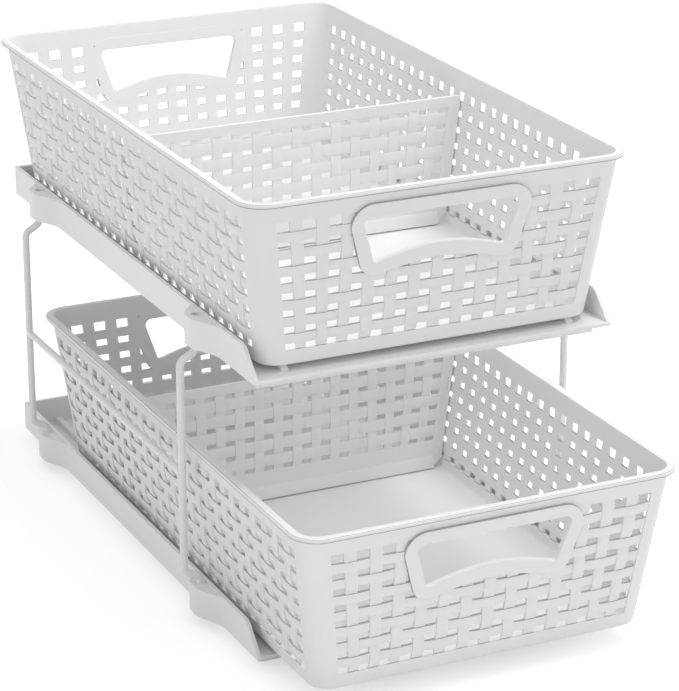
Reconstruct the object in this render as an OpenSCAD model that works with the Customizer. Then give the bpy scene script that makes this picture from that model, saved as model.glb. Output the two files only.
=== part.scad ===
// Two-tier pull out cabinet basket.
// Two moulded plastic baskets with woven lattice walls slide forward out of two
// open-fronted trays. Four cranked wire legs hold one tray above the other, and
// a lengthwise wire is welded between the two legs of each side. Each basket
// has one removable lattice divider that drops in between its side walls.
//
// Millimetres. X is the width, -Y is the front, +Z is up. The origin lies under
// the middle of the lower tray, on the plane that the tray stands on.

/* [Layout] */
// Height from one tier to the next
tier_pitch = 163.5; // [150:0.5:220]
// How far the lower basket stands pulled out at rest
lower_pull = 66; // [0:1:240]
// How far the upper basket stands pulled out at rest
upper_pull = 0; // [0:1:240]
// Upper divider's place along its basket, measured from the middle
upper_divider_y = -6.8; // [-150:0.1:150]
// Lower divider's place along its basket, measured from the middle
lower_divider_y = 61; // [-150:0.1:150]

/* [Basket] */
// Length over the rim
rim_l = 400; // [340:1:420]
// Width over the rim
rim_w = 234; // [220:1:250]
// Height of a basket
basket_h = 97; // [80:1:110]
// Wall thickness
wall_t = 1.8; // [1.5:0.1:3]
// Width of the rim's flange outside the wall
flange_w = 3.4; // [2:0.1:5]
// Thickness of the rim's flange
flange_t = 2.4; // [1.5:0.1:4]
// Slope of the walls, inward per millimetre of depth
draft = 0.125; // [0.05:0.005:0.2]
// Corner radius of the walls, outside
corner_r = 13; // [8:0.5:20]

/* [Woven walls] */
// Top of the lattice, below the rim
panel_top = 12.3; // [8:0.1:20]
// Height of the first row of holes
first_hole = 5.1; // [3:0.1:8]
// Spacing of the lying strips
strip_step = 10.1; // [9:0.1:12]
// Height of one lying strip
strip_h = 7.2; // [6:0.1:8.5]
// Number of lying strips in a wall
strip_n = 7; // [5:1:8]
// Width of one standing strip
stay_w = 6.8; // [5:0.1:8.5]
// How far a lying strip stands proud of the wall
strip_proud = 0.4; // [0.3:0.1:1]
// How far a standing strip stands proud where it crosses over
stay_proud = 0.8; // [0.6:0.1:1.8]

/* [Handle] */
// Half width of the hand hole at its top
hand_hw = 47; // [35:0.5:60]
// Half width of the hand hole at its pointed lower corners
hand_low_hw = 40.4; // [30:0.5:55]
// Top edge of the hand hole, below the rim
hand_top = 15.9; // [12:0.1:20]
// Lower corners of the hand hole, below the rim
hand_low = 43; // [38:0.5:50]
// Rise of the hand hole's lower edge in the middle
hand_rise = 6.6; // [0:0.1:10]
// Width of the smooth frame round the hand hole
bezel_w = 7.6; // [5:0.1:10]
// How far that frame stands proud of the wall
bezel_proud = 1.9; // [1:0.1:3]

/* [Tray] */
// Length of the tray's floor
tray_l = 381.6; // [320:0.1:400]
// Outside width between the side walls
tray_w = 219.6; // [210:0.1:240]
// Height of the walls above the underside of the floor
tray_wall_h = 18.2; // [12:0.1:30]
// Thickness of the walls
tray_t = 2.3; // [1.8:0.1:3]
// Thickness of the floor
floor_t = 2.2; // [1.8:0.1:3]
// Height of the ribs under the floor
rib_h = 5.9; // [3:0.1:10]
// Distance of the two slide rails from the middle
rail_x = 88.1; // [60:0.1:95]
// Height of a slide rail
rail_h = 3.3; // [2:0.1:4]

/* [Wire frame] */
// Wire diameter
wire_d = 4.5; // [4:0.1:6]
// Distance of the straight part of a leg from the middle
leg_x = 122.75; // [118:0.05:130]
// Distance of the sockets from the middle
socket_x = 113.2; // [110:0.1:120]
// Front legs
leg_front_y = -117.8; // [-150:0.1:-80]
// Rear legs
leg_rear_y = 136.4; // [80:0.1:160]
// Diameter of the lengthwise wires, thinner than the legs they are welded to
bar_d = 4.4; // [3.5:0.1:5.5]
// Height of the lengthwise wires
bar_z = 93.2; // [60:0.1:130]

/* [Hidden] */
eps = 0.01;
arc_n = 8;                              // flats in one rounded corner
draft_a = atan(draft);                  // wall slope as an angle
wall_hx = rim_w / 2 - flange_w;         // outside of the side wall at the rim
wall_hy = rim_l / 2 - flange_w;         // outside of the end wall at the rim
foot_r = 1.3;                           // rounding under the basket
floor_up = 2.4;                         // inside of the basket floor
inside_round = 1.5;                     // rounding between floor and walls
inner_r = corner_r - wall_t;
rim_r = corner_r + flange_w;
rim_round = 0.8;                        // rounding of the flange's edge

hole_gap = strip_step - strip_h;        // height of a row of holes
panel_bottom = panel_top + first_hole + strip_step * (strip_n - 1) + strip_h + hole_gap;
// A woven panel: standing strips each side of the middle one, how many of them are
// evenly spaced, their spacing, and the panel's half length at its top and bottom
end_panel = [6, 4, 13.85, [98, 88.9]];
side_panel = [12, 8, 13.6, [180, 172.2]];
pad_w = 6.4;                            // one crossing of a standing strip
pad_h = 12.6;
cut_d = 4;                              // reach of the cutters each side of the wall

swell_ease = 1.2;                       // how the swell of a lower edge dies out
hand_r = 4;                             // upper corners of the hand hole
hand_low_r = 1.8;                       // lower corners of the hand hole
bezel_r = 13;                           // upper corners of its frame
bezel_low_r = 10;                       // lower corners of its frame
bezel_low = 51;
bezel_low_hw = 38.5;
bezel_rise = 5.9;
bezel_sink = 1.9;                       // the frame fills the wall behind it

plate_t = 2.2;                          // divider
divider_top = 14.1;
divider_gap = 0.5;
divider_panel = 20.8;                   // top of its first row of holes
divider_rows = 6;
divider_stays = 7;
divider_lift = 2;                       // it hangs this far above the floor
divider_foot = [1.6, 0.8, 6.9];         // its thicker foot: step below, step above, height
foot_slope = 1.7;
foot_cut = 5;                           // its cut lower corners
divider_end = [4, 2];                   // depth and thickness of the ribs at its ends
divider_clip = 7;                       // its cut upper corners
rail_gap = 0.3;                         // play of a basket on the rails

floor_z = rib_h;                        // heights within a tray
wall_top = floor_z + tray_wall_h;
lug_top = wall_top - 0.8;
ring_h = 0.4;
ring_r = 3.3;
tray_front = -191.3;
tray_rear = tray_front + tray_l;
nose_y = -172;                          // where a side wall starts to slope down
nose_r = 8;
rail_w = 4;
rail_front = -182.7;
rail_end = 6;
rib_t = 2;
rib_inset = 6;
rib_front = -181.5;
rib_ys = [-90, 0, 90];
lug_reach = 8.4;                        // a lug's outline, outward and along the wall
lug_front = 28;
lug_rear = 17;
lug_flat = 3;
socket_d = 4.6;
socket_top = 8;                         // depth of the sockets, above and below
socket_low = 7;

basket_z = floor_z + floor_t + rail_h + rail_gap;
wire_r = wire_d / 2;
crank = leg_x - socket_x;
crank_r = 5;
crank_low_a = 70;
crank_top_a = 60;
crank_stub = 1;
lap = 0.05;                             // straight wires run this far into the bends
bend_thin = 0.02;                       // a bend draws the wire a hair thinner

white = [0.93, 0.93, 0.92];
soft_white = [0.9, 0.9, 0.89];
wire_white = [0.86, 0.86, 0.86];

// ---------- outlines ----------

function arc(c, r, a0, a1, n = arc_n) =
    [for (i = [0:n]) let (a = a0 + (a1 - a0) * i / n) [c[0] + r * cos(a), c[1] + r * sin(a)]];

function round_box(hx, hy, r) = concat(
    arc([hx - r, hy - r], r, 0, 90), arc([r - hx, hy - r], r, 90, 180),
    arc([r - hx, r - hy], r, 180, 270), arc([hx - r, r - hy], r, 270, 360));

// A lower edge that rises in the middle and is level at both ends
function swell(hw, low, rise, n = 10) =
    [for (i = [-n:n]) [hw * i / n, -low + rise * pow(1 - pow(i / n, 2), swell_ease)]];

function at_depth(pair, v) =
    pair[0] + (pair[1] - pair[0]) * (v - panel_top) / (panel_bottom - panel_top);

// Place along a wall: the middle of a panel is even, its ends fan out to the panel's edge
function fan(u, v, panel) =
    let (even = panel[1] * panel[2], last = (panel[0] + 1) * panel[2] - stay_w / 2,
         stretch = (at_depth(panel[3], v) - even) / (last - even))
    abs(u) <= even ? u : sign(u) * (even + (abs(u) - even) * stretch);

// ---------- basket ----------

module slice(hx, hy, r, z) {
    translate([0, 0, z]) linear_extrude(eps) polygon(round_box(hx, hy, r));
}

module body_outside() {
    low_x = wall_hx - draft * basket_h;
    low_y = wall_hy - draft * basket_h;
    hull() {
        slice(low_x - foot_r, low_y - foot_r, corner_r - foot_r, 0);
        slice(low_x, low_y, corner_r, foot_r);
        slice(wall_hx, wall_hy, corner_r, basket_h - eps);
    }
}

module body_inside() {
    rise = 1;
    low_x = wall_hx - wall_t - draft * (basket_h - floor_up);
    low_y = wall_hy - wall_t - draft * (basket_h - floor_up);
    hull() {
        slice(low_x - inside_round, low_y - inside_round, inner_r - inside_round, floor_up);
        slice(low_x, low_y, inner_r, floor_up + inside_round);
        slice(wall_hx - wall_t + draft * rise, wall_hy - wall_t + draft * rise, inner_r,
              basket_h + rise);
    }
}

module flange() {
    flat = flange_t - 2 * rim_round;
    hx = rim_w / 2;
    hy = rim_l / 2;
    translate([0, 0, basket_h - flange_t])
        linear_extrude(flange_t) polygon(round_box(hx - rim_round, hy - rim_round, rim_r - rim_round));
    translate([0, 0, basket_h - flange_t + rim_round])
        linear_extrude(flat) polygon(round_box(hx, hy, rim_r));
}

// The outside face of one wall: x along it, y up it from the rim, z outward
module on_wall(turn, distance) {
    rotate([0, 0, turn]) translate([0, -distance, basket_h]) rotate([90 + draft_a, 0, 0]) children();
}

function row_top(row) =
    row == 0 ? panel_top : panel_top + first_hole + strip_step * (row - 1) + strip_h;
function row_end(row) = panel_top + first_hole + strip_step * row;

module lattice_holes(panel) {
    translate([0, 0, -cut_d]) linear_extrude(2 * cut_d)
        for (row = [0:strip_n], i = [-panel[0] - 1:panel[0]]) {
            top = row_top(row);
            low = row_end(row);
            left = i * panel[2] + stay_w / 2;
            right = (i + 1) * panel[2] - stay_w / 2;
            polygon([[fan(left, top, panel), -top], [fan(right, top, panel), -top],
                     [fan(right, low, panel), -low], [fan(left, low, panel), -low]]);
        }
}

// Lying strips, and the crossings where a standing strip passes over them
module lattice_relief(panel) {
    for (k = [1:strip_n]) {
        top = row_end(k - 1);
        mid = top + strip_h / 2;
        hw = at_depth(panel[3], mid);
        translate([-hw, -top - strip_h, -strip_proud])
            cube([2 * hw, strip_h, 2 * strip_proud]);
        for (i = [-panel[0]:panel[0]])
            if ((i + k) % 2 == 0)
                translate([fan(i * panel[2], mid, panel) - pad_w / 2, -mid - pad_h / 2, -stay_proud])
                    cube([pad_w, pad_h, 2 * stay_proud]);
    }
}

function hand_outline() = concat(
    swell(hand_low_hw - hand_low_r, hand_low, hand_rise),
    arc([hand_low_hw - hand_low_r, hand_low_r - hand_low], hand_low_r, 285, 345, 3),
    arc([hand_hw - hand_r, -hand_top - hand_r], hand_r, 0, 90, 4),
    arc([hand_r - hand_hw, -hand_top - hand_r], hand_r, 90, 180, 4),
    arc([hand_low_r - hand_low_hw, hand_low_r - hand_low], hand_low_r, 195, 255, 3));

function bezel_outline() = let (hw = hand_hw + bezel_w, top = hand_top - bezel_w) concat(
    swell(bezel_low_hw, bezel_low, bezel_rise),
    arc([bezel_low_hw, bezel_low_r - bezel_low], bezel_low_r, 280, 345, 5),
    arc([hw - bezel_r, -top - bezel_r], bezel_r, 0, 90),
    arc([bezel_r - hw, -top - bezel_r], bezel_r, 90, 180),
    arc([-bezel_low_hw, bezel_low_r - bezel_low], bezel_low_r, 195, 260, 5));

module bezel() {
    translate([0, 0, -bezel_sink]) linear_extrude(bezel_sink + bezel_proud) polygon(bezel_outline());
}

module hand_hole() {
    translate([0, 0, -cut_d]) linear_extrude(2 * cut_d) polygon(hand_outline());
}

module basket() {
    difference() {
        union() {
            difference() {
                union() {
                    body_outside();
                    flange();
                    for (end = [0, 180])
                        on_wall(end, wall_hy) lattice_relief(end_panel);
                    for (side = [90, 270])
                        on_wall(side, wall_hx) lattice_relief(side_panel);
                }
                body_inside();
                for (end = [0, 180])
                    on_wall(end, wall_hy) lattice_holes(end_panel);
                for (side = [90, 270])
                    on_wall(side, wall_hx) lattice_holes(side_panel);
            }
            for (end = [0, 180]) on_wall(end, wall_hy) bezel();
        }
        for (end = [0, 180]) on_wall(end, wall_hy) hand_hole();
    }
}

// ---------- divider ----------

module divider() {
    hw = function (depth) wall_hx - wall_t - divider_gap - draft * depth;
    low = basket_h - floor_up - divider_lift;
    foot_hw = hw(low) - foot_cut;
    mid_row = function (k) divider_panel + first_hole / 2 + strip_step * k;
    rotate([90, 0, 0]) difference() {
        union() {
            translate([0, 0, -plate_t / 2]) linear_extrude(plate_t)
                polygon([[-foot_hw, -low], [foot_hw, -low],
                         [hw(low - foot_cut), foot_cut - low],
                         [hw(divider_top + divider_clip), -divider_top - divider_clip],
                         [hw(divider_top) - divider_clip, -divider_top],
                         [divider_clip - hw(divider_top), -divider_top],
                         [-hw(divider_top + divider_clip), -divider_top - divider_clip],
                         [-hw(low - foot_cut), foot_cut - low]]);
            translate([-foot_hw, 0, 0]) rotate([90, 0, 90]) linear_extrude(2 * foot_hw)
                foot_profile(low);
            for (s = [0, 1]) mirror([s, 0, 0]) end_rib(hw(low), low);
            for (k = [0:divider_rows - 2], i = [-end_panel[0]:end_panel[0]])
                if ((i + k) % 2 == 0)
                    translate([i * end_panel[2] - pad_w / 2,
                               -mid_row(k) - strip_step / 2 - pad_h / 2, 0])
                        cube([pad_w, pad_h, plate_t / 2 + strip_proud]);
        }
        translate([0, 0, -cut_d]) linear_extrude(2 * cut_d)
            for (k = [0:divider_rows - 1], i = [-divider_stays:divider_stays - 1])
                translate([i * end_panel[2] + stay_w / 2, -mid_row(k) - hole_gap / 2])
                    square([end_panel[2] - stay_w, hole_gap]);
    }
}

// The thicker foot seen from its end: x is up, y is forward
module foot_profile(low) {
    out = plate_t / 2 + divider_foot[0];
    step = plate_t / 2 + divider_foot[1];
    top = divider_foot[2] - low;
    polygon([[-low, -out], [-low, out], [top - foot_slope, step], [top, 0],
             [top - foot_slope, -step]]);
}

module end_rib(foot, low) {
    rib_lift = foot_cut + 0.5;
    length = low - divider_top - divider_clip - rib_lift - 0.5;
    translate([foot, -low, 0]) rotate([0, 0, -draft_a])
        translate([-divider_end[1], rib_lift, -divider_end[0] / 2])
            cube([divider_end[1], length, divider_end[0]]);
}

// ---------- tray ----------

function side_profile() = concat(
    [[tray_rear, floor_z], [tray_rear, wall_top]],
    arc([nose_y, wall_top - nose_r], nose_r, 90, 135, 4),
    [[tray_front, floor_z + floor_t], [tray_front, floor_z]]);

// One lug seen from above: an eased swelling out of the side wall
function lug_outline() = concat(
    [for (i = [0:8]) [lug_reach * (1 - cos(180 * i / 8)) / 2,
                      -lug_front + (lug_front - lug_flat) * i / 8]],
    [for (i = [0:8]) [lug_reach * (1 + cos(180 * i / 8)) / 2,
                      lug_flat + (lug_rear - lug_flat) * i / 8]],
    [[-tray_t / 2, lug_rear], [-tray_t / 2, -lug_front]]);

module lug(y) {
    translate([tray_w / 2, y, floor_z]) linear_extrude(lug_top - floor_z) polygon(lug_outline());
    translate([socket_x, y, lug_top - ring_h]) cylinder(h = 2 * ring_h, r = ring_r, $fn = 32);
}

module sockets(y) {
    translate([socket_x, y, lug_top + ring_h - socket_top])
        cylinder(h = socket_top + 1, d = socket_d, $fn = 32);
    translate([socket_x, y, floor_z - 1]) cylinder(h = socket_low + 1, d = socket_d, $fn = 32);
}

// Along the tray, x is measured back from the front and y is up
module along_tray(x, width) {
    translate([x, 0, 0]) rotate([90, 0, -90]) linear_extrude(width) mirror([1, 0]) children();
}

function rail_profile() = let (low = floor_z + floor_t - eps, h = rail_h + eps) concat(
    [[tray_rear - tray_t / 2, low], [tray_rear - tray_t / 2, low + h]],
    [for (i = [0:4]) [rail_front + rail_end * (1 - sin(22.5 * i)), low + h * cos(22.5 * i)]]);

module tray() {
    side = tray_w / 2;
    rib_x = side - rib_inset;
    rib_rear = tray_rear - rib_inset;
    difference() {
        union() {
            translate([-side, tray_front, floor_z]) cube([tray_w, tray_l, floor_t]);
            for (s = [0, 1]) mirror([s, 0, 0]) {
                along_tray(side, tray_t) polygon(side_profile());
                along_tray(rail_x + rail_w / 2, rail_w) polygon(rail_profile());
                for (y = [leg_front_y, leg_rear_y]) lug(y);
                translate([rib_x - rib_t, rib_front, 0])
                    cube([rib_t, rib_rear - rib_front, rib_h + eps]);
            }
            translate([-side, tray_rear - tray_t, floor_z]) cube([tray_w, tray_t, tray_wall_h]);
            for (y = concat([rib_front, rib_rear - rib_t], [for (r = rib_ys) r - rib_t / 2]))
                translate([-rib_x, y, 0]) cube([2 * rib_x, rib_t, rib_h + eps]);
        }
        for (s = [0, 1], y = [leg_front_y, leg_rear_y]) mirror([s, 0, 0]) sockets(y);
    }
}

// ---------- wire frame ----------

// A straight length of wire, lapped into the bends at its ends
module straight(from, to) {
    translate([0, 0, from]) cylinder(h = to - from, r = wire_r, $fn = 32);
}

module bend(a) {
    rotate([90, 0, 0]) rotate_extrude(angle = a, $fn = 64)
        translate([crank_r, 0]) circle(wire_r - bend_thin, $fn = 32);
}

// Cranked length of wire: sets out upward from the origin and ends moved over by crank
module crank_bend(a) {
    run = crank_run(a);
    first_end = [-crank_r * (1 - cos(a)), crank_r * sin(a)];
    run_end = first_end + run * [-sin(a), cos(a)];
    translate([-crank_r, 0, 0]) bend(a);
    translate([first_end[0], 0, first_end[1]]) rotate([0, -a, 0]) straight(-lap, run + lap);
    translate([run_end[0] + crank_r * cos(a), 0, run_end[1] + crank_r * sin(a)])
        rotate([0, 180, 0]) bend(a);
}

function crank_run(a) = (crank - 2 * crank_r * (1 - cos(a))) / sin(a);
function crank_h(a) = 2 * crank_r * sin(a) + crank_run(a) * cos(a);

module leg() {
    foot = lug_top + ring_h - socket_top;
    bend = lug_top + ring_h + crank_stub;
    under = floor_z + tier_pitch;
    head = under + socket_low;
    neck = under - crank_stub;
    low_end = bend + crank_h(crank_low_a);
    top_end = neck - crank_h(crank_top_a);
    translate([-socket_x, 0, 0]) straight(foot, bend + lap);
    translate([-socket_x, 0, bend]) crank_bend(crank_low_a);
    translate([-leg_x, 0, 0]) straight(low_end - lap, top_end + lap);
    translate([-leg_x, 0, top_end]) mirror([1, 0, 0]) crank_bend(crank_top_a);
    translate([-socket_x, 0, 0]) straight(neck - lap, head);
}

module crossbar() {
    difference() {
        translate([-leg_x, leg_front_y, bar_z]) rotate([-90, 0, 0])
            cylinder(h = leg_rear_y - leg_front_y, d = bar_d, $fn = 32);
        for (y = [leg_front_y, leg_rear_y])
            translate([-leg_x, y, bar_z - wire_d]) cylinder(h = 2 * wire_d, r = wire_r, $fn = 32);
    }
}

// ---------- nodes ----------

module lower_tray() color(white) tray();
module upper_tray() color(white) translate([0, 0, tier_pitch]) tray();

module left_front_leg() color(wire_white) translate([0, leg_front_y, 0]) leg();
module left_rear_leg() color(wire_white) translate([0, leg_rear_y, 0]) leg();
module right_front_leg() color(wire_white) translate([0, leg_front_y, 0]) mirror([1, 0, 0]) leg();
module right_rear_leg() color(wire_white) translate([0, leg_rear_y, 0]) mirror([1, 0, 0]) leg();

module left_crossbar() color(wire_white) crossbar();
module right_crossbar() color(wire_white) mirror([1, 0, 0]) crossbar();

module lower_basket() color(soft_white) translate([0, -lower_pull, basket_z]) basket();
module upper_basket() color(soft_white) translate([0, -upper_pull, basket_z + tier_pitch]) basket();

module lower_divider()
    color(white) translate([0, lower_divider_y - lower_pull, basket_z + basket_h]) divider();
module upper_divider()
    color(white) translate([0, upper_divider_y - upper_pull, basket_z + basket_h + tier_pitch]) divider();

lower_tray();
upper_tray();
left_rear_leg();
left_front_leg();
right_rear_leg();
right_front_leg();
left_crossbar();
right_crossbar();
upper_basket();
lower_basket();
upper_divider();
lower_divider();
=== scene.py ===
# Two-tier pull out cabinet basket: two woven-look plastic baskets that slide out of
# open-fronted trays, which four cranked wire legs hold one above the other.
import math
from collections import namedtuple

import bmesh
import bpy
from mathutils import Euler, Matrix, Vector


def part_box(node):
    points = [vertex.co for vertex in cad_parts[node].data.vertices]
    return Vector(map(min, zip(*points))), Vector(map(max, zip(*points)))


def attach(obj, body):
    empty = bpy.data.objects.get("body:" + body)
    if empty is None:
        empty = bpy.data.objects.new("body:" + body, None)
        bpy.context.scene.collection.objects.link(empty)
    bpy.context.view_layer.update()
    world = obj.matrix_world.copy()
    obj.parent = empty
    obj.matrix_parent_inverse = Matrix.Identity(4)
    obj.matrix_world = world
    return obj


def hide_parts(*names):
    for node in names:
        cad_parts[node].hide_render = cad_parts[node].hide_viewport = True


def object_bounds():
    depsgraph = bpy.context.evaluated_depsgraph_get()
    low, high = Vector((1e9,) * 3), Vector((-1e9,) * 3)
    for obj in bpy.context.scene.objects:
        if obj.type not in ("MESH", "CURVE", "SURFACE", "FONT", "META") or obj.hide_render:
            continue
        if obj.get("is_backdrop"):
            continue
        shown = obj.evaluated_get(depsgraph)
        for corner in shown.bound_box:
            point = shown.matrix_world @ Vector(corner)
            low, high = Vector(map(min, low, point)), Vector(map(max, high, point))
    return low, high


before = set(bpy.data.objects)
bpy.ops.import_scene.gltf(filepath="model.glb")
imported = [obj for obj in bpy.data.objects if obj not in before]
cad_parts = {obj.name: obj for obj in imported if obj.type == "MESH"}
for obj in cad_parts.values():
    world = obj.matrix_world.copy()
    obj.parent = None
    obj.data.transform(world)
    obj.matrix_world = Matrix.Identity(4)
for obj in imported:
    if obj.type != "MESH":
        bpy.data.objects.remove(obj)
cad_low, cad_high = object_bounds()
mm = 0.001

# ---------------------------------------------------------------- camera
# A long lens from the front left, a little above the rims.

scene = bpy.context.scene
scene.view_settings.view_transform = "Standard"
camera = bpy.data.objects.new("camera", bpy.data.cameras.new("camera"))
scene.collection.objects.link(camera)
camera.location = (-0.6793, -1.4940, 0.7219)
camera.rotation_euler = Euler((math.radians(69.57), 0, math.radians(-25.44)))
camera.data.lens = 148.8
camera.data.sensor_width = 36
camera.data.clip_start = 0.05
scene.camera = camera

# ---------------------------------------------------------------- trays
# Each tray is one moulding of white polypropylene, glossier than the baskets: a floor with
# two slide rails, three walls, ribs below and four lugs for the wires. The mould eases its
# edges, so they catch the light.


class Sock:
    """A shader socket that takes part in plain arithmetic."""

    def __init__(self, finish, socket):
        self.finish, self.socket = finish, socket

    def _maths(self, operation, *values):
        return self.finish.node("ShaderNodeMath", {"operation": operation}, *values)

    def __add__(self, other):
        return self._maths("ADD", self, other)

    def __mul__(self, other):
        return self._maths("MULTIPLY", self, other)

    __radd__, __rmul__ = __add__, __mul__


class Finish:
    """The nodes of a material or of the world, made from Python expressions."""

    def __init__(self, owner, shader="Principled BSDF", **values):
        owner.use_nodes = True
        self.owner, self.tree = owner, owner.node_tree
        self.shader = self.tree.nodes[shader]
        for socket, value in values.items():
            self.shader.inputs[socket.replace("_", " ")].default_value = value

    def node(self, kind, settings, *values, out=0, **named):
        made = self.tree.nodes.new(kind)
        for key, value in settings.items():
            setattr(made, key, value)
        for key, value in [*enumerate(values), *named.items()]:
            if isinstance(value, Sock):
                self.tree.links.new(value.socket, made.inputs[key])
            else:
                made.inputs[key].default_value = value
        return Sock(self, made.outputs[out])

    def noise(self, scale, detail=2.0):
        place = self.node("ShaderNodeTexCoord", {}, out="Object")
        return self.node("ShaderNodeTexNoise", {}, out="Fac", Vector=place, Scale=scale,
                         Detail=detail)

    def mix(self, amount, first, second):
        made = self.node("ShaderNodeMix", {"data_type": "RGBA"}, amount, out=2)
        for socket, colour in zip(made.socket.node.inputs[6:8], (first, second)):
            if isinstance(colour, Sock):
                self.tree.links.new(colour.socket, socket)
            else:
                socket.default_value = (*colour, 1)
        return made

    def feed(self, socket, value):
        self.tree.links.new(value.socket, self.shader.inputs[socket])

    def bump(self, height, strength, distance):
        self.feed("Normal", self.node("ShaderNodeBump", {}, out="Normal", Strength=strength,
                                      Distance=distance, Height=height))


flow_scale, gloss_scale, grain_scale = 9.0, 140.0, 2600.0
gloss_spread = 0.12
bump_strength, bump_depth = 0.12, 0.3 * mm


def moulded_plastic(name, light, shade, gloss, grain, painted_shade_colour=None):
    """Polypropylene as the mould leaves it: even, a little satin, with a fine grain and
    slight flow marks. The last colour is painted shade: a dark grey mixed into the faces
    that the attribute marks, the narrow ones that look up beside a raised strip or edge,
    where shadow would fall."""
    finish = Finish(bpy.data.materials.new(name), IOR=1.49)
    flow = finish.noise(flow_scale, detail=3.0)
    colour = finish.mix(flow, shade, light)
    if painted_shade_colour:
        # painted shade: the marked faces turn dark grey, standing in for shadow in narrow places
        painted_shade = finish.node("ShaderNodeAttribute", {"attribute_name": "painted_shade"}, out="Fac")
        colour = finish.mix(painted_shade, colour, painted_shade_colour)
    finish.feed("Base Color", colour)
    finish.feed("Roughness", finish.noise(gloss_scale) * gloss_spread + gloss)
    finish.bump(finish.noise(grain_scale, detail=3.0) * grain + flow * (1 - grain),
                bump_strength, bump_depth)
    return finish.owner


tray_white = moulded_plastic("tray_white", (0.88, 0.88, 0.875), (0.86, 0.86, 0.855), 0.30, 0.5)
tray_ease = 0.35 * mm
weld_gap = 0.004 * mm
flat_turn, bevel_turn, sharp_turn = math.radians(0.5), math.radians(40), math.radians(35)


def shade_smooth(piece):
    piece.data.polygons.foreach_set("use_smooth", [True] * len(piece.data.polygons))
    piece.data.set_sharp_from_angle(angle=sharp_turn)


def eased_tray(tier):
    """A copy of a CAD tray with its edges rounded, in place of the node."""
    node = f"{tier}_tray"
    piece = bpy.data.objects.new(f"{tier}_tray_moulding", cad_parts[node].data.copy())
    scene.collection.objects.link(piece)
    shape = bmesh.new()
    shape.from_mesh(piece.data)
    bmesh.ops.remove_doubles(shape, verts=shape.verts, dist=weld_gap)
    bmesh.ops.dissolve_limit(shape, angle_limit=flat_turn, verts=shape.verts, edges=shape.edges)
    shape.to_mesh(piece.data)
    shape.free()
    piece.data.materials.clear()
    piece.data.materials.append(tray_white)
    bevel = piece.modifiers.new("ease", "BEVEL")
    bevel.width = tray_ease
    bevel.segments = 2
    bevel.limit_method = "ANGLE"
    bevel.angle_limit = bevel_turn
    shade_smooth(piece)
    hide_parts(node)
    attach(piece, "frame")


for tier in ("lower", "upper"):
    eased_tray(tier)

# ---------------------------------------------------------------- wire frame
# Steel wire with a pale coating. Each leg is cranked in at both ends to stand in a
# socket, and a lengthwise wire is welded between the two legs of each side.


def coated_wire():
    finish = Finish(bpy.data.materials.new("wire_coating"), IOR=1.5, Coat_Weight=0.3,
                    Coat_Roughness=0.15)
    colour = finish.mix(finish.noise(60.0), (0.80, 0.80, 0.80), (0.84, 0.84, 0.84))
    finish.feed("Base Color", colour)
    finish.feed("Roughness", finish.noise(300.0) * 0.15 + 0.22)
    finish.bump(finish.noise(900.0, detail=3.0), 0.15, 0.2 * mm)
    return finish.owner


wire_coating = coated_wire()
for node in ("left_rear_leg", "left_front_leg", "right_rear_leg", "right_front_leg",
             "left_crossbar", "right_crossbar"):
    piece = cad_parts[node]
    for place in piece.material_slots:
        place.material = wire_coating

# ---------------------------------------------------------------- woven lattice
# The walls look woven but are one moulding: standing and lying strips pass over each
# other by turns, flat on the inside and arched on the outside, with small holes between.

strip_h = 5.7
stay_w = 6.8
stay_step, strip_step = 13.85, 10.1
wall_t = 1.6
strip_crest, strip_side, strip_dip = 0.55, 0.32, -0.15
stay_crest, stay_side, stay_dip = 0.75, 0.4, -0.15
edge_inset, edge_drop = 0.25, 0.12


def strip_bar(shape, runs, half, lying):
    """One strip seen across its run: an arched top with eased edges, sides, a flat back.
    runs holds (place along the strip, height) pairs, half is its half width. The side of
    a lying strip that looks up is marked for painted shade, a dark line where the strip
    above would shade it."""
    painted_shade = shape.faces.layers.float.get("painted_shade") or shape.faces.layers.float.new("painted_shade")
    upper_side = 4
    across = [(-half, -edge_drop), (-half + edge_inset, 0), (half - edge_inset, 0),
              (half, -edge_drop)]
    rows = []
    for along, height in runs:
        row = [(along, -half, -wall_t)] + [(along, side, height + low) for side, low in across]
        row.append((along, half, -wall_t))
        rows.append([shape.verts.new((a, s, h) if lying else (s, a, h)) for a, s, h in row])
    for near, far in zip(rows, rows[1:]):
        for j in range(len(near)):
            after = (j + 1) % len(near)
            quad = [near[j], far[j], far[after], near[after]]
            face = shape.faces.new(quad[::-1] if lying else quad)
            # painted shade on the upper side of each lying strip
            face[painted_shade] = float(lying and j == upper_side)


def arch(start, end, steps, low, high):
    """Places and heights along a strip that swings from low at its start to high at its end."""
    swing = [(1 - math.cos(math.pi * i / steps)) / 2 for i in range(steps + 1)]
    return [(start + (end - start) * i / steps, low + (high - low) * part)
            for i, part in enumerate(swing)]


def mirrored(runs):
    return [(-along, height) for along, height in runs[::-1]]


def crossing(name, stay_over, height=strip_h):
    """One crossing with half of the strips on each side of it: the strip that passes over
    in one length, the one below it in two arms."""
    ex, ey = stay_step / 2, strip_step / 2
    if stay_over:
        over_half, under_half = stay_w / 2, height / 2
        over = arch(-ey, 0, 3, stay_side, stay_crest)
        arm = arch(over_half, ex, 2, strip_dip, strip_side)
    else:
        over_half, under_half = height / 2, stay_w / 2
        over = arch(-ex, 0, 4, strip_side, strip_crest)
        arm = arch(over_half, ey, 1, stay_dip, stay_side)
    shape = bmesh.new()
    strip_bar(shape, over + mirrored(over[:-1]), over_half, lying=not stay_over)
    for runs in (mirrored(arm), arm):
        strip_bar(shape, runs, under_half, lying=stay_over)
    bmesh.ops.scale(shape, vec=(mm, mm, mm), verts=shape.verts)
    mesh = bpy.data.meshes.new(name)
    shape.to_mesh(mesh)
    shape.free()
    return bpy.data.objects.new(name, mesh)


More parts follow.
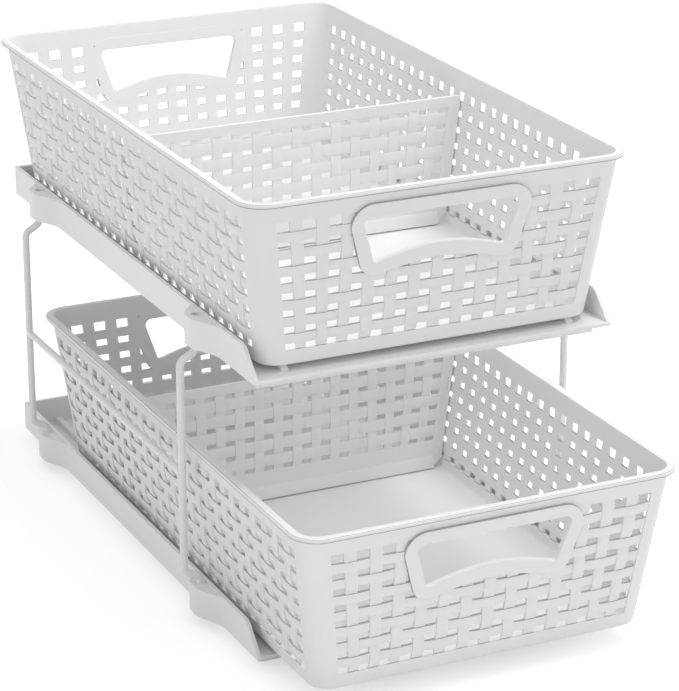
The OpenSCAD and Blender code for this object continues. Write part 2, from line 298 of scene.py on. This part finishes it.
class Weave:
    """The node tree that repeats the two kinds of crossing over a panel, by turns."""

    def __init__(self, stay_over, strip_over):
        self.tree = bpy.data.node_groups.new("weave", "GeometryNodeTree")
        face = self.tree.interface
        self.inputs = {}
        for name, kind, value in (("Stays", "NodeSocketInt", 13), ("Strips", "NodeSocketInt", 7),
                                  ("Stay spacing", "NodeSocketFloat", stay_step * mm),
                                  ("Strip spacing", "NodeSocketFloat", strip_step * mm),
                                  ("Finish", "NodeSocketMaterial", None)):
            made = face.new_socket(name, in_out="INPUT", socket_type=kind)
            if value is not None:
                made.default_value = value
            self.inputs[name] = made.identifier
        face.new_socket("Geometry", in_out="OUTPUT", socket_type="NodeSocketGeometry")
        entry = self.tree.nodes.new("NodeGroupInput").outputs
        width = self.maths("MULTIPLY", self.maths("SUBTRACT", entry["Stays"], 1),
                           entry["Stay spacing"])
        height = self.maths("MULTIPLY", self.maths("SUBTRACT", entry["Strips"], 1),
                            entry["Strip spacing"])
        grid = self.add("GeometryNodeMeshGrid", {"Size X": width, "Size Y": height,
                                                 "Vertices X": entry["Stays"],
                                                 "Vertices Y": entry["Strips"]})["Mesh"]
        place = self.add("ShaderNodeSeparateXYZ",
                         {"Vector": self.add("GeometryNodeInputPosition", {})["Position"]})
        column = self.maths("ROUND", self.maths("DIVIDE", place["X"], entry["Stay spacing"]))
        row = self.maths("ROUND", self.maths("DIVIDE", place["Y"], entry["Strip spacing"]))
        odd = self.maths("FLOORED_MODULO", self.maths("ADD", column, row), 2)
        even = self.maths("SUBTRACT", 1, odd)
        join = self.tree.nodes.new("GeometryNodeJoinGeometry")
        for tile, chosen in ((stay_over, even), (strip_over, odd)):
            copied = self.add("GeometryNodeObjectInfo", {"Object": tile})["Geometry"]
            spread = self.add("GeometryNodeInstanceOnPoints",
                              {"Points": grid, "Selection": chosen, "Instance": copied})
            self.tree.links.new(spread["Instances"], join.inputs[0])
        real = self.add("GeometryNodeRealizeInstances", {"Geometry": join.outputs[0]})["Geometry"]
        painted = self.add("GeometryNodeSetMaterial",
                           {"Geometry": real, "Material": entry["Finish"]})["Geometry"]
        self.tree.links.new(painted, self.tree.nodes.new("NodeGroupOutput").inputs[0])

    def add(self, kind, values, **settings):
        made = self.tree.nodes.new(kind)
        for key, value in settings.items():
            setattr(made, key, value)
        for key, value in values.items():
            if isinstance(value, bpy.types.NodeSocket):
                self.tree.links.new(value, made.inputs[key])
            else:
                made.inputs[key].default_value = value
        return made.outputs

    def maths(self, operation, first, second=0.0):
        return self.add("ShaderNodeMath", {0: first, 1: second}, operation=operation)[0]

    def panel(self, stays, strips, finish):
        """A flat woven panel as a plain mesh, in metres, its middle at the origin."""
        carrier = bpy.data.objects.new("panel", bpy.data.meshes.new("panel"))
        scene.collection.objects.link(carrier)
        woven = carrier.modifiers.new("weave", "NODES")
        woven.node_group = self.tree
        woven[self.inputs["Stays"]] = stays
        woven[self.inputs["Strips"]] = strips
        woven[self.inputs["Finish"]] = finish
        ready = carrier.evaluated_get(bpy.context.evaluated_depsgraph_get())
        mesh = bpy.data.meshes.new_from_object(ready)
        bpy.data.objects.remove(carrier)
        return mesh


wall_weave = Weave(crossing("stay_over", True), crossing("strip_over", False))

# ---------------------------------------------------------------- baskets
# One satin white moulding each: drafted walls with round corners under a flanged rim, a
# smooth band above and below each woven panel, a frame round the hand hole in the front
# and the rear wall, and a flat floor.

# The third colour, a dark grey, is painted shade for the marked narrow faces.
basket_white = moulded_plastic("basket_white", (0.87, 0.87, 0.86), (0.85, 0.85, 0.84), 0.42, 0.7,
                               (0.42, 0.42, 0.415))
basket_h = 97.0
rim_half = (117.0, 200.0)
flange_w = 3.4
draft = 0.125
corner_r = 13.0
panel_top = 12.3
first_hole = 6.2
strips = 7
panel_base = 88.1
wall_half = (rim_half[0] - flange_w, rim_half[1] - flange_w)
# stays each side of the middle one, how many of them are evenly spaced, their spacing,
# and the panel's half length at its top and base
Panel = namedtuple("Panel", "stays even spacing reach")
end_wall = Panel(6, 4, 13.85, (98.0, 88.9))
side_wall = Panel(12, 8, 13.6, (180.0, 172.2))
corner_steps = 10
ring_part = corner_steps + 3
corner_gap = 0.3
# The lines of the shell's section, each with how far it stands out from the outer face.
# The rounded foot, by height above its base:
foot_lines = ((-1.6, 0), (-0.9, 0.15), (-0.3, 0.6), (0, 1.4))
# The neck, and the flanged rim with its small step, from the outside in, by depth:
band_top = 3.0
neck_out, neck_round, neck_depth = 0.1, 0.2, 2.5
rim_lines = ((flange_w - 0.2, 2.4), (flange_w, 1.8), (flange_w, 0.55), (flange_w - 0.1, 0.4),
             (flange_w - 0.55, 0.35), (flange_w - 0.65, 0.1), (flange_w - 0.85, 0.0),
             (-1.1, 0.0), (-1.45, 0.12), (-wall_t, 0.5))
inner_top = 2.4
# The hollow round the floor inside, inward from the inner face, by height above the floor:
floor_t = 2.4
floor_lines = ((0, 2.2), (0.2, 1.2), (0.8, 0.4), (1.9, 0))


def between(pair, depth):
    """A size given at a panel's top and base, at a depth between them."""
    part = min(max((depth - panel_top) / (panel_base - panel_top), 0), 1)
    return pair[0] + (pair[1] - pair[0]) * part


def wall_ring(out, corner, depth):
    """One level round the basket: where each panel starts and ends, and round corners."""
    hx, hy = wall_half[0] + out, wall_half[1] + out
    ends, sides = between(end_wall.reach, depth), between(side_wall.reach, depth)
    ring = []
    for turn, (along, across), edge in ((0, (hx, hy), ends), (90, (hy, hx), sides),
                                        (180, (hx, hy), ends), (270, (hy, hx), sides)):
        cos, sin = round(math.cos(math.radians(turn))), round(math.sin(math.radians(turn)))
        edge = min(edge, along - corner - corner_gap)
        local = [(-edge, -across), (edge, -across)]
        for i in range(corner_steps + 1):
            a = math.radians(-90 + 90 * i / corner_steps)
            local.append((along - corner + corner * math.cos(a),
                          -across + corner + corner * math.sin(a)))
        ring += [(x * cos - y * sin, x * sin + y * cos, basket_h - depth) for x, y in local]
    return ring


def skin(shape, rings, windows, shaded_levels):
    """Faces between neighbouring rings. windows names the gaps left open for the panels,
    the last argument the levels whose faces get painted shade, a dark line."""
    painted_shade = shape.faces.layers.float["painted_shade"]
    layers = [[shape.verts.new(p) for p in ring] for ring in rings]
    count = len(layers[0])
    for level, (low, high) in enumerate(zip(layers, layers[1:])):
        for j in range(count):
            if level in windows and j % ring_part == 0:
                continue
            face = shape.faces.new((low[j], low[(j + 1) % count], high[(j + 1) % count], high[j]))
            # painted shade on the marked levels
            face[painted_shade] = float(level in shaded_levels)
    return layers


def basket_shell(shape):
    """Floor, smooth bands, corners and rim, with an opening for the panel in each wall."""

    def leaning(grow, depth):
        return wall_ring(grow - draft * depth, corner_r + grow, depth)

    outside = [wall_ring(grow - draft * basket_h, corner_r + grow, basket_h - up)
               for grow, up in foot_lines]
    outside += [leaning(0, depth) for depth in (panel_base, panel_top, band_top)]
    outside.append(wall_ring(neck_out, corner_r + neck_round, neck_depth))
    outside += [wall_ring(grow, corner_r + grow, depth) for grow, depth in rim_lines]
    outside.append(leaning(-wall_t, inner_top))
    inside = [leaning(-wall_t, panel_top), leaning(-wall_t, panel_base)]
    inside += [leaning(-wall_t - inward, basket_h - floor_t - up) for inward, up in floor_lines]
    # rings by number, from the foot up
    window_out, under_flange, rim_step, window_in = 4, 8, 12, len(outside)
    # The flange's lower edge and the small step on the rim top get painted shade, dark lines where
    # shadow falls.
    layers = skin(shape, outside + inside, (window_out, window_in), (under_flange, rim_step))
    shape.faces.new(layers[0][::-1])
    shape.faces.new(layers[-1])
    for wall in range(4):
        a, b = wall * ring_part, wall * ring_part + 1
        base_o, top_o = layers[window_out], layers[window_out + 1]
        top_i, base_i = layers[window_in], layers[window_in + 1]
        shape.faces.new((base_o[a], base_o[b], base_i[b], base_i[a]))
        shape.faces.new((top_o[b], top_o[a], top_i[a], top_i[b]))
        shape.faces.new((top_o[a], base_o[a], base_i[a], top_i[a]))
        shape.faces.new((base_o[b], top_o[b], top_i[b], base_i[b]))


def wall_frame(turn, distance):
    """The outside face of one wall: x along it, y up it from the rim, z outward."""
    return (Matrix.Rotation(math.radians(turn), 4, "Z")
            @ Matrix.Translation((0, -distance * mm, basket_h * mm))
            @ Matrix.Rotation(math.pi / 2 + math.atan(draft), 4, "X"))


# the hand hole's half length at its top and base, the depths of both, how far the lower
# edge swells up in the middle, and its corners; then the same for the frame round it
hand_half, hand_low_half, hand_top, hand_low, hand_rise = 47.0, 40.4, 15.9, 43.0, 6.6
hand_r, hand_low_r = 4.0, 1.8
bezel_w, bezel_low, bezel_low_half, bezel_rise = 7.6, 51.0, 38.5, 5.9
bezel_r, bezel_low_r = 13.0, 10.0
bezel_proud, bezel_round = 1.9, 0.5
sunk = 0.05
side_facing = 0.6


def swell(half, low, rise):
    """A lower edge that rises in the middle and dies out level at both ends."""
    steps, fullness = 24, 1.2
    return [(half * i / steps, -low + rise * (1 - (i / steps) ** 2) ** fullness)
            for i in range(-steps, steps + 1)]


def turn_round(centre, radius, start, end, steps=10):
    return [(centre[0] + radius * math.cos(math.radians(start + (end - start) * i / steps)),
             centre[1] + radius * math.sin(math.radians(start + (end - start) * i / steps)))
            for i in range(steps + 1)]


def hand_outline(grow=0.0):
    half, top = hand_half + grow, hand_top - grow
    x, y = hand_low_half + grow - hand_low_r, hand_low_r - hand_low - grow
    return (swell(x, hand_low + grow, hand_rise)
            + turn_round((x, y), hand_low_r, 285, 345, 4)
            + turn_round((half - hand_r, -top - hand_r), hand_r, 0, 90)
            + turn_round((hand_r - half, -top - hand_r), hand_r, 90, 180)
            + turn_round((-x, y), hand_low_r, 195, 255, 4))


def bezel_outline():
    half, top = hand_half + bezel_w, hand_top - bezel_w
    low = bezel_low_r - bezel_low
    return (swell(bezel_low_half, bezel_low, bezel_rise)
            + turn_round((bezel_low_half, low), bezel_low_r, 280, 345)
            + turn_round((half - bezel_r, -top - bezel_r), bezel_r, 0, 90)
            + turn_round((bezel_r - half, -top - bezel_r), bezel_r, 90, 180)
            + turn_round((-bezel_low_half, low), bezel_low_r, 195, 260))


def cut_plate(name, outlines, low, high, ease):
    """A plate between two heights with eased edges. The first outline is its edge, the
    others are holes in it. In millimetres; the mesh comes back in metres."""
    curve = bpy.data.curves.new(name, "CURVE")
    curve.dimensions = "2D"
    curve.fill_mode = "BOTH"
    curve.extrude = ((high - low) / 2 - ease) * mm
    curve.bevel_depth = ease * mm
    curve.bevel_resolution = 2
    curve.offset = -ease * mm
    for outline in outlines:
        spline = curve.splines.new("POLY")
        spline.points.add(len(outline) - 1)
        for point, (x, y) in zip(spline.points, outline):
            point.co = (x * mm, y * mm, 0, 1)
        spline.use_cyclic_u = True
    holder = bpy.data.objects.new(name, curve)
    scene.collection.objects.link(holder)
    mesh = bpy.data.meshes.new_from_object(
        holder.evaluated_get(bpy.context.evaluated_depsgraph_get()))
    bpy.data.objects.remove(holder)
    mesh.transform(Matrix.Translation((0, 0, (low + high) / 2 * mm)))
    return mesh


def holds(outline, point):
    """True where a point in metres lies inside a closed outline in millimetres."""
    x, y = point[0] / mm, point[1] / mm
    inside = False
    for (x0, y0), (x1, y1) in zip(outline, outline[1:] + outline[:1]):
        if (y0 > y) != (y1 > y) and x < x0 + (y - y0) / (y1 - y0) * (x1 - x0):
            inside = not inside
    return inside


def fan(x, depth, wall):
    """Place along a wall: the middle of a panel is even, its ends fan out to its edge."""
    held = wall.even * wall.spacing
    last = (wall.stays + 1 - stay_w / stay_step / 2) * wall.spacing
    if abs(x) <= held:
        return x
    stretch = (between(wall.reach, depth) - held) / (last - held)
    return math.copysign(held + (abs(x) - held) * stretch, x)


def fit_panel(mesh, wall, middle, rows, top, base, step=strip_step, relief=1.0,
              height=strip_h):
    """Draws a flat panel out to its window: the outer stays fan, the outer strip ends reach
    the window's sides, and the stay ends reach the bands above and below."""
    narrow, tall = wall.spacing / stay_step, step / strip_step
    last_x = wall.stays * wall.spacing + stay_w / 2 * narrow
    last_y = ((rows - 1) * strip_step + height) / 2 * tall
    reach_x = (stay_step - stay_w) / 2 * narrow
    reach_y = (strip_step - height) / 2 * tall
    tuck, end_dip = 0.4, -0.5
    window = (wall.stays + 1) * wall.spacing - stay_w / 2 * narrow + tuck
    for vertex in mesh.vertices:
        x, y, z = (c / mm for c in vertex.co)
        x, y = x * narrow, y * tall
        z *= relief if z > 0 else 1
        depth = middle - y
        if abs(y) > last_y:
            part = (abs(y) - last_y) / reach_y
            start = middle - math.copysign(last_y, y)
            depth = start + ((top if y > 0 else base) - start - math.copysign(tuck, y)) * part
            z += (end_dip - z) * part if z > end_dip else 0
        if abs(x) > last_x:
            part = (abs(x) - last_x) / reach_x
            x = math.copysign(last_x + (window - last_x) * part, x)
            z += (end_dip - z) * part if z > end_dip else 0
        vertex.co = (fan(x, depth, wall) * mm, -depth * mm, z * mm)


def add_mesh(shape, mesh, matrix=None):
    if matrix is not None:
        mesh.transform(matrix)
    shape.from_mesh(mesh)
    bpy.data.meshes.remove(mesh)


def wall_panel(wall):
    middle = panel_top + first_hole + strip_h / 2 + (strips - 1) / 2 * strip_step
    mesh = wall_weave.panel(2 * wall.stays + 1, strips, basket_white)
    fit_panel(mesh, wall, middle, strips, panel_top, panel_base)
    return mesh


def trim_panel(mesh, outline):
    """Takes the strips away inside an outline."""
    trim = bmesh.new()
    trim.from_mesh(mesh)
    gone = [face for face in trim.faces if holds(outline, face.calc_center_median())]
    bmesh.ops.delete(trim, geom=gone, context="FACES")
    trim.to_mesh(mesh)
    trim.free()


def bezel_mesh(mid_line):
    """The frame round a hand hole, its outer side, beyond the middle line, marked for painted
    shade, a dark outline.
    """
    bezel = cut_plate("bezel", [bezel_outline(), hand_outline()], -wall_t - sunk, bezel_proud,
                      bezel_round)
    painted_shade = bezel.attributes.new("painted_shade", "FLOAT", "FACE").data
    for polygon in bezel.polygons:
        outer = not holds(mid_line, polygon.center)
        # painted shade on the bezel's outer side faces
        painted_shade[polygon.index].value = float(outer and abs(polygon.normal.z) < side_facing)
    return bezel


def basket_mesh():
    shape = bmesh.new()
    # a face layer that marks where painted shade goes
    shape.faces.layers.float.new("painted_shade")
    basket_shell(shape)
    bmesh.ops.scale(shape, vec=(mm, mm, mm), verts=shape.verts)
    mid_line = hand_outline(bezel_w / 2)
    for turn in (0, 90, 180, 270):
        has_hand_hole = turn % 180 == 0
        panel = wall_panel(end_wall if has_hand_hole else side_wall)
        matrix = wall_frame(turn, wall_half[1] if has_hand_hole else wall_half[0])
        if has_hand_hole:
            trim_panel(panel, mid_line)
        add_mesh(shape, panel, matrix)
        if has_hand_hole:
            add_mesh(shape, bezel_mesh(mid_line), matrix)
    mesh = bpy.data.meshes.new("basket")
    shape.to_mesh(mesh)
    shape.free()
    return mesh


def add_piece(name, mesh, node, body, place):
    """A basket or divider at its place, in place of its CAD node."""
    mesh.materials.clear()
    mesh.materials.append(basket_white)
    mesh.polygons.foreach_set("material_index", [0] * len(mesh.polygons))
    mesh.transform(Matrix.Translation(place))
    piece = bpy.data.objects.new(name, mesh)
    scene.collection.objects.link(piece)
    shade_smooth(piece)
    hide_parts(node)
    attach(piece, body)


woven_basket = basket_mesh()
for tier in ("upper", "lower"):
    low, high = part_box(f"{tier}_basket")
    add_piece(f"{tier}_woven_basket", woven_basket.copy(), f"{tier}_basket",
              f"{tier}_basket", (0, (low.y + high.y) / 2, low.z))

# ---------------------------------------------------------------- dividers
# A flat plate with a woven window, cut to the slope of the walls it drops between, with
# a narrow rib down each end and a thicker foot just above the floor.

plate_t = 2.2
divider_top, divider_base = 14.1, 93.8
divider_corner_r = 1.0
divider_gap = 2.3
divider_window = Panel(7, 4, 12.85, (102.2, 93.1))
divider_strips, divider_step, divider_strip_h = 5, 10.4, 6.9
divider_relief = 0.6
window_top, window_base = 20.5, 75.5
foot_height, foot_slope, foot_step, foot_out, foot_cut = 8.1, 1.7, 0.8, 1.6, 5.0
rib_t, rib_w, rib_lift = 4.0, 2.0, 0.5
plate_ease, foot_ease, rib_ease = 0.3, 0.2, 0.4
flat_weave = Weave(crossing("flat_stay_over", True, divider_strip_h),
                   crossing("flat_strip_over", False, divider_strip_h))


def divider_half(depth):
    return wall_half[0] - divider_gap - draft * depth


def divider_plate(foot):
    """The plate with its window, foot being half its length along the bottom."""
    corner_x = divider_half(divider_top) - divider_corner_r
    corner_y = -divider_top - divider_corner_r
    cut_x, cut_y = divider_half(divider_base - foot_cut), foot_cut - divider_base
    outline = [(-foot, -divider_base), (foot, -divider_base), (cut_x, cut_y),
               *turn_round((corner_x, corner_y), divider_corner_r, 0, 90, 4),
               *turn_round((-corner_x, corner_y), divider_corner_r, 90, 180, 4),
               (-cut_x, cut_y)]
    high, low = (between(divider_window.reach, d) for d in (window_top, window_base))
    window = [(-low, -window_base), (low, -window_base), (high, -window_top), (-high, -window_top)]
    return cut_plate("plate", [outline, window], -plate_t / 2, plate_t / 2, plate_ease)


def divider_panel():
    middle = (window_top + window_base) / 2
    mesh = flat_weave.panel(2 * divider_window.stays + 1, divider_strips, basket_white)
    fit_panel(mesh, divider_window, middle, divider_strips, window_top, window_base,
              divider_step, divider_relief, divider_strip_h)
    # the divider's weave gets no painted shade
    mesh.attributes.remove(mesh.attributes["painted_shade"])
    return mesh


def divider_foot():
    """The foot's section, thicker below and sloped in above, as (height, thickness) points."""
    step, out = plate_t / 2 + foot_step, plate_t / 2 + foot_out
    shoulder = foot_height - divider_base
    return [(-divider_base, -out), (shoulder - foot_slope, -step), (shoulder, -plate_t / 2),
            (shoulder, plate_t / 2), (shoulder - foot_slope, step), (-divider_base, out)]


def divider_mesh():
    foot = divider_half(divider_base) - foot_cut
    rib_base, rib_top = divider_base - foot_cut - rib_lift, divider_top + divider_corner_r
    lengthwise = Matrix(((0, 0, 1, 0), (1, 0, 0, 0), (0, 1, 0, 0), (0, 0, 0, 1)))
    shape = bmesh.new()
    add_mesh(shape, divider_plate(foot))
    add_mesh(shape, divider_panel(), Matrix.Translation((0, 0, (plate_t / 2 - sunk) * mm)))
    add_mesh(shape, cut_plate("foot", [divider_foot()], -foot, foot, foot_ease), lengthwise)
    for side in (-1, 1):
        outer = [(divider_half(depth), -depth) for depth in (rib_base, rib_top)]
        inner = [(x - rib_w, y) for x, y in outer[::-1]]
        rib = [(side * x, y) for x, y in (outer + inner)[::side]]
        add_mesh(shape, cut_plate("rib", [rib], -rib_t / 2, rib_t / 2, rib_ease))
    bmesh.ops.rotate(shape, matrix=Matrix.Rotation(math.pi / 2, 3, "X"), verts=shape.verts)
    mesh = bpy.data.meshes.new("divider")
    shape.to_mesh(mesh)
    shape.free()
    return mesh


divider = divider_mesh()
for tier in ("upper", "lower"):
    low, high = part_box(f"{tier}_divider")
    plate_y = high.y - rib_t / 2 * mm
    rim_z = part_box(f"{tier}_basket")[1].z
    add_piece(f"{tier}_woven_divider", divider.copy(), f"{tier}_divider",
              f"{tier}_divider", (0, plate_y, rim_z))

# ---------------------------------------------------------------- stage
# A white floor and backdrop, a soft lamp above, weaker light from the front and the left,
# and a small faint lamp between the tiers, which a white room would light by itself.


def lamp(name, place, aim, size, power, spread=180):
    light = bpy.data.lights.new(name, "AREA")
    light.shape = "SQUARE"
    light.size = size
    light.energy = power
    light.spread = math.radians(spread)
    holder = bpy.data.objects.new(name, light)
    scene.collection.objects.link(holder)
    holder.location = place
    holder.rotation_euler = (Vector(aim) - Vector(place)).to_track_quat("-Z", "Y").to_euler()


lamp("overhead", (0.5, -0.2, 1.8), (0, 0, 0.1), 0.7, 16)
lamp("front", (0.5, -2.3, 1.3), (0, 0, 0.12), 1.4, 5.2)
lamp("left", (-2.2, -0.6, 0.8), (0, 0, 0.12), 1.2, 3.8)
lamp("between_tiers", (0.02, -0.09, 0.161), (0.02, -0.09, 0), 0.19, 0.033, 90)

floor_reach, floor_gap = 6, 0.5 * mm
paper_glow, room_light = 0.45, 0.57


def shown(finish):
    """1 for what the camera sees, straight or mirrored, and 0 for light on the object."""
    rays = finish.tree.nodes.new("ShaderNodeLightPath").outputs
    return (Sock(finish, rays["Is Camera Ray"]) + Sock(finish, rays["Is Glossy Ray"])
            + Sock(finish, rays["Is Transmission Ray"]))


corners = [(x * floor_reach, y * floor_reach, 0) for x, y in ((-1, -1), (1, -1), (1, 1), (-1, 1))]
floor_mesh = bpy.data.meshes.new("floor")
floor_mesh.from_pydata(corners, [], [(0, 1, 2, 3)])
floor = bpy.data.objects.new("floor", floor_mesh)
floor.location.z = cad_low.z - floor_gap
scene.collection.objects.link(floor)
paper = Finish(bpy.data.materials.new("paper"), Roughness=0.95, Specular_IOR_Level=0.0,
               Base_Color=(0.9, 0.9, 0.9, 1), Emission_Color=(1, 1, 1, 1))
paper.feed("Emission Strength", shown(paper) * paper_glow)
floor_mesh.materials.append(paper.owner)
floor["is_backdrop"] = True

scene.world = bpy.data.worlds.new("white")
backdrop = Finish(scene.world, "Background", Color=(1, 1, 1, 1))
backdrop.feed("Strength", shown(backdrop) * (1 - room_light) + room_light)

# ---------------------------------------------------------------- sizes

low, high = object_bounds()
